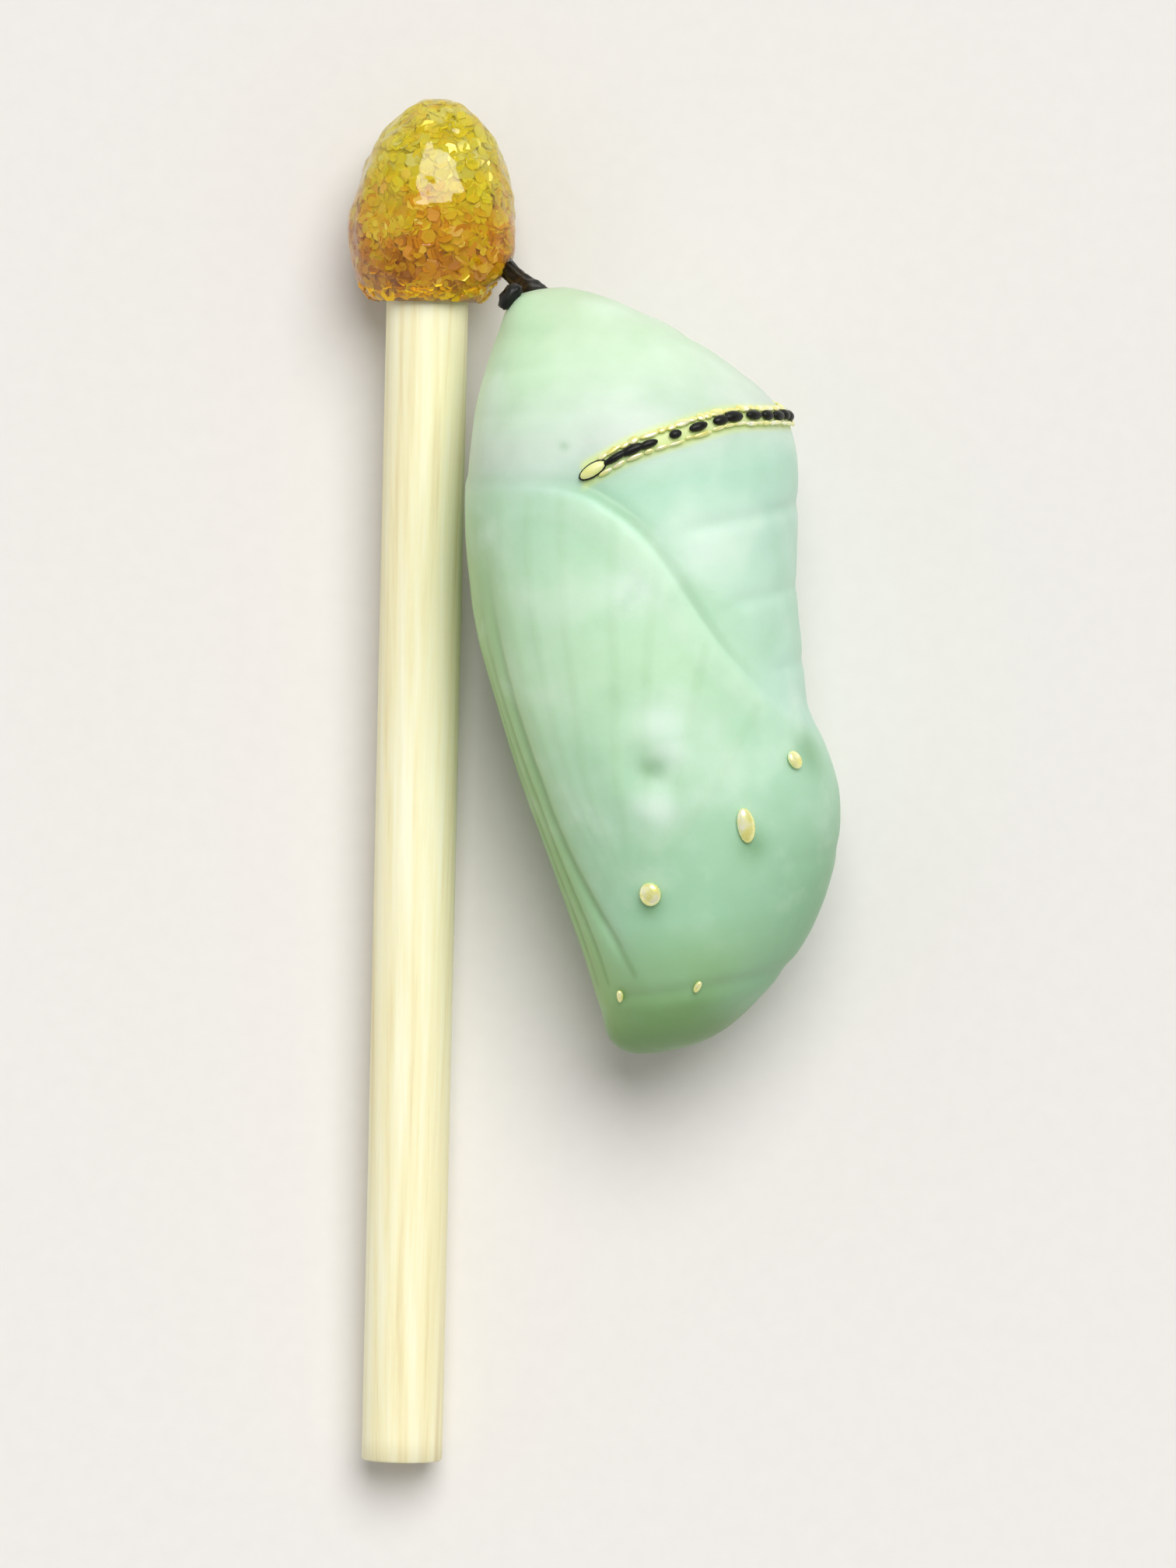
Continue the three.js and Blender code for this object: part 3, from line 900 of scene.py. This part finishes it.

# %% [markdown]
# ## Painting the map
#
# The finish needs to know where it is on the case. Distances to the wing's edge, the veins, the seams and
# the band are stored on the mesh as attributes, in millimetres. They change evenly from place to place, so
# the nodes can cut crisp lines from them, and they travel with the mesh into an export.

# %% Store the map on the mesh
# Painted highlights round the dimple and on the wings. Of the dark spots, the spiracle is the case's own
# mark, those in the dimple and just under the wing and thorax dots are painted shade, and one darkens the
# patch beside the back dot.
SPOTS = {  # soft patches: (s, angle, radius) on both flanks
    "painted_highlight": [(15.3, 89, 0.9), (16.2, 88, 0.7), (18.2, 100, 0.7), (10.6, 92, 0.9), (9.6, 66, 1.3)],
    "dark_spots_and_shade": [
        (17.4, 30, 0.9), (*DIMPLE, 0.42), (5.37, 113, 0.17), (21.5, 112, 0.5), (20.0, 68, 0.55),
    ],
}
store(case, "along", case_s / CASE_LENGTH)
store(case, "around", case_angle / 180)
store(case, "wing", np.clip(wing_distance(case_s, case_angle), -3, 3))
store(case, "vein", np.clip(nearest_of(VEINS, case_s, case_angle), 0, 2))
store(case, "seam", np.clip(nearest_of([path for path, _, _ in SEAMS], case_s, case_angle), 0, 2))
store(case, "band", np.clip(case_s - band_line(case_angle), -2, 2))
case_unrolled = unrolled(case_s, case_angle)
for name, spots in SPOTS.items():
    strengths = []
    for s, angle, radius in spots:
        strengths.append(hump(np.linalg.norm(case_unrolled - unrolled(s, angle), axis=1), radius))
    store(case, name, np.max(strengths, axis=0))
put_in_place(case, bench_to_body)

# %% [markdown]
# ## The case's finish
#
# The skin is pale mint, greener on the wings and bluish on the back. Along the body its colour is partly
# painted light and shade: nearly white on the dome by the stalk, which faced the light, and darkest at the
# head, which faced away from it, over the head cap's own darker olive. It is waxy: light goes a little way
# in, which softens every shadow, and a thin clear coat gives the gloss. A single green would look like
# plastic. So the colour is built up in layers, each guided by one part of the map: first along the body,
# then round it, then a painted highlight on the wing's raised rim and painted shade in the gutter beside it,
# veins, seams, painted highlights and dark spots, some of them painted shade, the yellow ground of the
# band, and last a fine mortling.

# %% Finish the case
# Palest on the dome and darkest at the head: the case's own tones with painted light and shade over them.
TONES_AND_PAINTED_SHADE = [  # along the body, from the stalk to the head
    (0.0, (190, 214, 178)), (0.1, (204, 229, 200)), (0.2, (206, 219, 208)), (0.27, (184, 224, 199)),
    (0.38, (205, 240, 209)), (0.5, (207, 242, 209)), (0.68, (178, 219, 191)), (0.82, (164, 213, 180)),
    (0.88, (142, 187, 136)), (0.903, (135, 179, 123)), (0.937, (98, 140, 70)), (0.955, (88, 128, 54)),
    (1.0, (74, 112, 36)),
]

case_skin, tree, shader = new_finish("waxy_mint_skin")
along, around, wing = painted(tree, "along"), painted(tree, "around"), painted(tree, "wing")


def coat(skin, strength, colour, *shares):
    """One more layer of colour over the skin, where every share of the map is 1."""
    for share in shares:
        strength = maths(tree, "MULTIPLY", share, strength)
    return mix(tree, strength, skin, srgb(*colour))


off_head = between(tree, along, 0.975, 0.92)
side_on = between(tree, around, 0.22, 0.42)
off_belly = between(tree, around, 0.75, 0.5, 0.25, 1)
on_wing = between(tree, wing, 0.0, 0.5)
skin = ramp(tree, along, *TONES_AND_PAINTED_SHADE)
back, low_back = between(tree, around, 0.5, 0.15), between(tree, around, 0.5, 0.12)
belly = between(tree, around, 0.7, 0.9)
skin = coat(skin, 0.65, (180, 218, 204), back, between(tree, along, 0.2, 0.35), off_head)
skin = coat(skin, 0.85, (92, 156, 106), low_back, between(tree, along, 0.6, 0.84), off_head)
skin = coat(skin, 0.85, (140, 177, 98), belly, between(tree, along, 0.15, 0.38, 0.1, 1), off_head)
skin = coat(skin, 0.3, (190, 238, 184), between(tree, around, 0.5, 0.75), between(tree, along, 0.26, 0.12))
skin = coat(skin, 0.25, (182, 222, 172), on_wing)
print("ground colours laid")

# %% Draw the lines and patches on the skin
# Painted highlight along the wing case's raised rim, and painted shade in the gutter just outside its edge.
rim_highlight = maths(tree, "MULTIPLY", between(tree, wing, 0.05, 0.35), between(tree, wing, 1.25, 0.8))
gutter_shade = maths(tree, "MULTIPLY", between(tree, wing, -0.45, -0.12), between(tree, wing, 0.12, -0.06))
vein_line = between(tree, painted(tree, "vein"), 0.28, 0.04)
seam_line = between(tree, painted(tree, "seam"), 0.3, 0.0)
on_band = between(tree, maths(tree, "ABSOLUTE", painted(tree, "band")), 0.62, 0.3)
skin = coat(skin, 0.5, (216, 243, 218), rim_highlight, side_on, off_belly)
skin = coat(skin, 0.5, (134, 178, 134), gutter_shade, side_on, off_belly)
skin = coat(skin, 0.18, (168, 208, 158), vein_line, on_wing)
skin = coat(skin, 0.5, (120, 158, 100), seam_line, between(tree, along, 0.3, 0.6))
# Painted highlights, then dark spots with painted shade in the dimple and under two dots.
skin = coat(skin, 0.65, (232, 250, 238), painted(tree, "painted_highlight"))
skin = coat(skin, 0.65, (114, 164, 112), painted(tree, "dark_spots_and_shade"))
skin = coat(skin, 0.85, (222, 236, 152), on_band, between(tree, around, 0.607, 0.59))
print("lines and patches drawn")

# %% Mottle the skin and make it waxy
BLOTCHES = 260
MOTTLES = 520
PORES = 5200

plain_place = stretched(tree)
blotch = grainy(tree, plain_place, BLOTCHES, 2)
mottle = grainy(tree, plain_place, MOTTLES, 5, 0.62)
pores = grainy(tree, plain_place, PORES, 3, 0.6)
skin = coat(skin, 0.3, (226, 246, 230), between(tree, blotch, 0.52, 0.72), between(tree, along, 0.85, 0.7))
skin = coat(skin, 0.2, (164, 208, 168), between(tree, blotch, 0.48, 0.3))
skin = coat(skin, 0.2, (228, 246, 228), between(tree, mottle, 0.45, 0.75), between(tree, along, 0.95, 0.75))
skin = coat(skin, 0.2, (160, 204, 164), between(tree, mottle, 0.5, 0.25))
fill_in(tree, shader, {
    "Base Color": skin,
    "Roughness": between(tree, mottle, 0.3, 0.7, 0.4, 0.5),
    "Normal": bumped(tree, pores, 0.12, 0.05 * MM),
    "Subsurface Weight": 0.35,
    "Subsurface Radius": (0.8, 1.0, 0.7),
    "Subsurface Scale": 0.9 * MM,
    "Specular IOR Level": 0.35,
    "Coat Weight": 0.1,
    "Coat Roughness": 0.3,
})
finish_piece(case, case_skin, "pupa_case", "chrysalis")

# %% [markdown]
# ## Wrapping small things round the case
#
# The beads and dots sit on the curved skin. Each is modelled flat, on a paper pattern of the unrolled case:
# X is `s`, Y is the way round in millimetres and Z is the height. Then every corner is carried to the case,
# which bends long beads round the body as well.

# %% Wrap a flat pattern round the case
PROBE = 0.5  # degrees, or rows of the outline, from which the way the skin faces is found
INSIDE = (0, 2, 0)  # a place well inside the case
BEAD_SEGMENTS = 16
BEAD_RINGS = 10


def plain_form(reach, angle):
    """Places on the plain form, from the place along the outline and the angle round the body."""
    row = np.arange(len(outline))
    s, belly, back, breadth = (np.interp(reach, row, column) for column in outline.T)
    cos, sin = np.cos(np.radians(angle)), np.sin(np.radians(angle))
    swell = (np.abs(cos) ** SQUARENESS + np.abs(sin) ** SQUARENESS) ** (-1 / SQUARENESS)
    return np.stack([s, (back + belly) / 2 + (back - belly) / 2 * cos * swell, breadth * sin * swell], -1)


def wrap(piece, follow_band=False):
    """Carry a piece from the flat pattern to the case. On the band, X is counted from the band's line."""
    flat = corners(piece)
    angle = np.degrees(flat[:, 1] / FLANK_RADIUS)
    s = flat[:, 0] + (band_line(angle) if follow_band else 0)
    reach = np.interp(s, outline[:, 0], np.arange(len(outline)))
    here = plain_form(reach, angle)
    facing = np.cross(plain_form(reach, angle + PROBE) - here, plain_form(reach + PROBE, angle) - here)
    facing /= np.linalg.norm(facing, axis=1)[:, None]
    facing *= np.sign(np.einsum("ij,ij->i", facing, here - INSIDE))[:, None]
    move_corners(piece, here + facing * (flat[:, 2] + relief(s, angle))[:, None])
    put_in_place(piece, bench_to_body)


def flat_beads(name, beads):
    """Round beads on the pattern, joined: each is (x, y, half length in x, in y, height)."""
    made = []
    for x, y, half_x, half_y, height in beads:
        clear_bench()
        bpy.ops.mesh.primitive_uv_sphere_add(
            segments=BEAD_SEGMENTS, ring_count=BEAD_RINGS, radius=1, location=(x, y, 0)
        )
        bead = bpy.context.object
        bead.scale = (half_x, half_y, height)
        made.append(bead)
    for bead in made:
        bead.select_set(True)
    bpy.context.view_layer.objects.active = made[0]
    if len(made) > 1:
        bpy.ops.object.join()
    bpy.ops.object.transform_apply(location=True, rotation=True, scale=True)
    made[0].name = made[0].data.name = name
    return made[0]


# %% [markdown]
# ## The crown: black beads edged with gold
#
# The band that crosses the back is a row of black, shiny bumps of uneven length. The lowest on each flank
# is a long dash, then come dots and short dashes up to the ridge of the back. Bright gold beads edge it on
# both sides, thicker towards the stalk. At each end sits one pale yellow oval in a dark ring.

# %% Model the crown
DASHES = [  # from angle, to angle, half width
    (90.5, 99.8, 0.14), (84.5, 93.5, 0.17), (79.5, 87, 0.14), (70.5, 75.2, 0.15), (60, 67.5, 0.15),
    (51, 57.5, 0.16), (44, 52, 0.19), (34.5, 42, 0.16), (27.5, 33.5, 0.17), (18.5, 26, 0.17), (10, 17, 0.18),
    (1.5, 8.5, 0.17),
]
DASH_HEIGHT = 0.15
END_OVAL = 103.5  # degrees
OVAL_RING = (0.27, 0.465, 0.075)  # half length, half width and height
OVAL = (0.23, 0.42, 0.13)
GOLD_ROWS = ((-0.27, 0.13), (0.26, 0.08))  # place beside the band's line, half width
GOLD_FROM, GOLD_TO = 1.5, 100  # degrees
GOLD_HALF_WAY = (0.14, 0.34)  # half lengths round the body
GOLD_GAP = (0.5, 1.1)  # for each half length
GOLD_SIZES = (0.7, 1.1)
GOLD_HEIGHT = 0.07
UNSTEADY = (0.04, 0.03)  # how far black and gold beads stray from their line
crown = random.Random(11)


def round_way(angle):
    return math.radians(angle) * FLANK_RADIUS


black_beads, gold_beads, end_ovals = [], [], []
for flank in (1, -1):
    for start, end, half in DASHES:
        middle_way, half_way = round_way((start + end) / 2), round_way((end - start) / 2)
        stray = crown.uniform(-UNSTEADY[0], UNSTEADY[0])
        black_beads.append((stray, flank * middle_way, half, half_way, DASH_HEIGHT))
    black_beads.append((0, flank * round_way(END_OVAL), *OVAL_RING))
    end_ovals.append((0, flank * round_way(END_OVAL), *OVAL))
    for offset, size in GOLD_ROWS:
        angle = GOLD_FROM
        while angle < GOLD_TO:
            half_way = crown.uniform(*GOLD_HALF_WAY)
            angle += math.degrees(half_way / FLANK_RADIUS)
            place = (offset + crown.uniform(-UNSTEADY[1], UNSTEADY[1]), flank * round_way(angle))
            gold_beads.append((*place, size * crown.uniform(*GOLD_SIZES), half_way, GOLD_HEIGHT))
            angle += math.degrees(half_way / FLANK_RADIUS) * crown.uniform(*GOLD_GAP)

black_band = flat_beads("band_black_beads", black_beads)
gold_band = flat_beads("band_gold_beads", gold_beads)
pale_ends = flat_beads("band_end_ovals", end_ovals)
for piece in (black_band, gold_band, pale_ends):
    wrap(piece, follow_band=True)

# %% [markdown]
# ## The gold dots
#
# Each flank carries five metallic dots: one on the wing's base, one long one beside it on the thorax, one
# near the back, and two small ones on the head. They are shallow domes, and the one on the thorax is drawn
# out.

# %% Model the dots
DOTS = [  # s, angle, half length, half width, height
    (21.1, 110.5, 0.42, 0.4, 0.2), (19.25, 70, 0.62, 0.3, 0.17), (17.45, 42, 0.33, 0.28, 0.15),
    (24.7, 136.5, 0.22, 0.2, 0.12), (24.6, 87, 0.2, 0.2, 0.12),
]
dots = flat_beads("gold_dots", [
    (s, flank * round_way(angle), length, width, height)
    for flank in (1, -1) for s, angle, length, width, height in DOTS
])
wrap(dots)

# %% [markdown]
# The gold is not paint: layers in the case reflect the light, so it looks like polished pale gold. The
# black is glossy and slightly brown, and the end ovals are a waxy yellow.

# %% Finish the crown and the dots
SHIMMERS = 2600
SPECKS = 3200
WAX_CLOUDS = 1800

living_gold, tree, shader = new_finish("living_gold")
shimmer = grainy(tree, stretched(tree), SHIMMERS, 3, 0.6)
fill_in(tree, shader, {
    "Base Color": ramp(
        tree, shimmer, (0.3, (234, 228, 120)), (0.5, (250, 249, 168)), (0.7, (255, 255, 228))
    ),
    "Roughness": between(tree, shimmer, 0.3, 0.7, 0.34, 0.2),
    "Normal": bumped(tree, shimmer, 0.2, 0.05 * MM),
    "Metallic": 0.4,
    "Coat Weight": 0.6,
    "Coat Roughness": 0.1,
})

jet, tree, shader = new_finish("glossy_jet")
speck = grainy(tree, stretched(tree), SPECKS, 4, 0.6)
fill_in(tree, shader, {
    "Base Color": ramp(tree, speck, (0.35, (6, 7, 6)), (0.62, (16, 18, 12)), (0.8, (38, 40, 24))),
    "Roughness": between(tree, speck, 0.3, 0.7, 0.34, 0.5),
    "Normal": bumped(tree, speck, 0.35, 0.08 * MM),
    "Specular IOR Level": 0.35,
})

lemon, tree, shader = new_finish("lemon_wax")
cloud = grainy(tree, stretched(tree), WAX_CLOUDS, 3, 0.5)
fill_in(tree, shader, {
    "Base Color": ramp(tree, cloud, (0.35, (222, 226, 128)), (0.7, (244, 246, 190))),
    "Roughness": between(tree, cloud, 0.3, 0.7, 0.3, 0.45),
    "Subsurface Weight": 0.2,
    "Subsurface Scale": 0.3 * MM,
    "Coat Weight": 0.3,
})

finish_piece(dots, living_gold, "pupa_case")
finish_piece(gold_band, living_gold, "pupa_case")
finish_piece(black_band, jet, "pupa_case")
finish_piece(pale_ends, lemon, "pupa_case")

# %% [markdown]
# ## The stalk
#
# The chrysalis hangs by a short black stalk that ends in tiny hooks. It is rough and ribbed, flares where
# it grows out of the case, and has two black knobs at its foot on the belly side. It is lofted between its
# two ends, and its ribs are pushed in with noise. Its far end is lost in the glue. The knobs are small
# lumps: a sphere is drawn out, roughened with noise, leaned along the belly and mirrored to the other
# flank.

# %% Model the stalk
STALK_ROOT = (0.8, 0.3, 0)  # inside the case, on its own bench
STALK_OUTLINE = [  # share of its length, radius
    (0.0, 0.5), (0.1, 0.62), (0.22, 0.6), (0.34, 0.48), (0.48, 0.4), (0.68, 0.39), (0.85, 0.46), (1.0, 0.4),
]
STALK_SIDES = 16
RIBS = (2.4, 0.3)  # noise waves round the stalk, and in a millimetre along it
FINE_RIBS = (0.6, 3)  # share of the depth, waves in a millimetre
RIB_DEPTH = 0.3  # share of the radius
KNOB_PLACE = (0.22, -0.86, 0.36)  # on the case's bench: s, towards the back, aside
KNOB_SIZE = (0.52, 0.3, 0.27)  # half length, height and width
KNOB_LEAN = math.radians(-48)  # along the belly side of the dome
KNOB_LUMPS = (0.25, 5)  # height, waves for each unit

stalk_root = bench_to_body @ Vector(STALK_ROOT)
stalk_top = Vector((entry.x + MM * STALK_TOP[0], entry.y + MM * STALK_TOP[1], MM * STALK_TOP[2]))
stalk_way = stalk_top - stalk_root
stalk_length = stalk_way.length / MM
stalk_outline = curve_through(STALK_OUTLINE, 3)
stalk_rings = [(share * stalk_length, 0, radius, radius) for share, radius in stalk_outline]
stalk = loft("black_stalk", stalk_rings, STALK_SIDES)
subdivide(stalk, 2)
places = corners(stalk)
for place in places:
    x, y, z = place
    around = Vector((y, z, 0)).normalized() * RIBS[0] + Vector((0, 0, x * RIBS[1]))
    rib = noise.noise(around) + FINE_RIBS[0] * noise.noise(Vector(place) * FINE_RIBS[1])
    place[1:] *= 1 - RIB_DEPTH * (0.5 + rib / 2)
move_corners(stalk, places)
turn_stalk = stalk_way.to_track_quat("X", "Z").to_matrix().to_4x4()
put_in_place(stalk, Matrix.Translation(stalk_root) @ turn_stalk @ Matrix.Scale(MM, 4))

knobs = flat_beads("stalk_knobs", [(0, 0, *KNOB_SIZE)])
lumps = corners(knobs)
rise, waves = KNOB_LUMPS
lumps *= np.array([1 + rise * noise.noise(Vector(place) * waves) for place in lumps])[:, None]
move_corners(knobs, lumps @ np.array(Matrix.Rotation(KNOB_LEAN, 3, "Z")).T + KNOB_PLACE)
apply_modifier(knobs, "MIRROR", use_axis=(False, False, True))
put_in_place(knobs, bench_to_body)
finish_piece(stalk, jet, "pupa_case")
finish_piece(knobs, jet, "pupa_case")

# %% [markdown]
# ## Table, light and background
#
# The table is a plain pale sheet that runs far out. A wide soft sun stands above and towards the stalk's
# end, as daylight fell on the hanging chrysalis from above, so the dome is bright and the head end falls
# into soft shade. A sun lights a table as evenly near as far, which a lamp would not. A weak second one
# comes from the left. The pale room fills the shadows and gives the wax something to reflect. It is
# brightest low down, like pale walls, so the table fades into it when one looks along it.

# %% Table
TABLE_SIZE = 40
PAPER_FIBRES = 1500

clear_bench()
bpy.ops.mesh.primitive_plane_add(size=TABLE_SIZE)
table = bpy.context.object
table.name = "table"
paper, tree, shader = new_finish("pale_paper")
fibre = grainy(tree, stretched(tree), PAPER_FIBRES, 3)
fill_in(tree, shader, {
    "Base Color": ramp(tree, fibre, (0.3, (229, 226, 222)), (0.7, (231, 228, 224))),
    "Roughness": 0.85,
})
table.data.materials.append(paper)

# %% Light
SUNS = {  # direction it comes from, strength, width in degrees
    "daylight": ((0.08, 0.24, 0.43), 2.62, 42),
    "fill": ((-0.8, 0.05, 0.5), 0.16, 50),
}
for name, (come_from, strength, width) in SUNS.items():
    clear_bench()
    bpy.ops.object.light_add(type="SUN", location=come_from)
    sun = bpy.context.object
    sun.name = name
    sun.data.energy = strength
    sun.data.angle = math.radians(width)
    sun.rotation_euler = (-Vector(come_from)).to_track_quat("-Z", "Y").to_euler()

ROOM = (0.38, 0.92)  # brightness overhead and along the horizon
WALLS = (0.03, 0.17)  # heights between which the bright walls fade
world = bpy.data.worlds.new("pale_room")
world.use_nodes = True
tree = world.node_tree
look = add_node(tree, "TexCoord", "Generated")
up = add_node(tree, "SeparateXYZ", "Z", {"Vector": look})
background = tree.nodes["Background"]
overhead, low_down = ROOM
fill_in(tree, background, {
    "Color": srgb(247, 245, 242),
    "Strength": between(tree, up, *WALLS, low_down, overhead),
})
bpy.context.scene.world = world
bpy.context.scene.view_settings.view_transform = "Standard"

# %% [markdown]
# ## Measure and finish
#
# The imported model's box is printed. The finished model may not outgrow the imported one.

# %% Write the sizes and finish
print("packed from", in_mm(cad_low, 3), "to", in_mm(cad_high, 3), "mm")
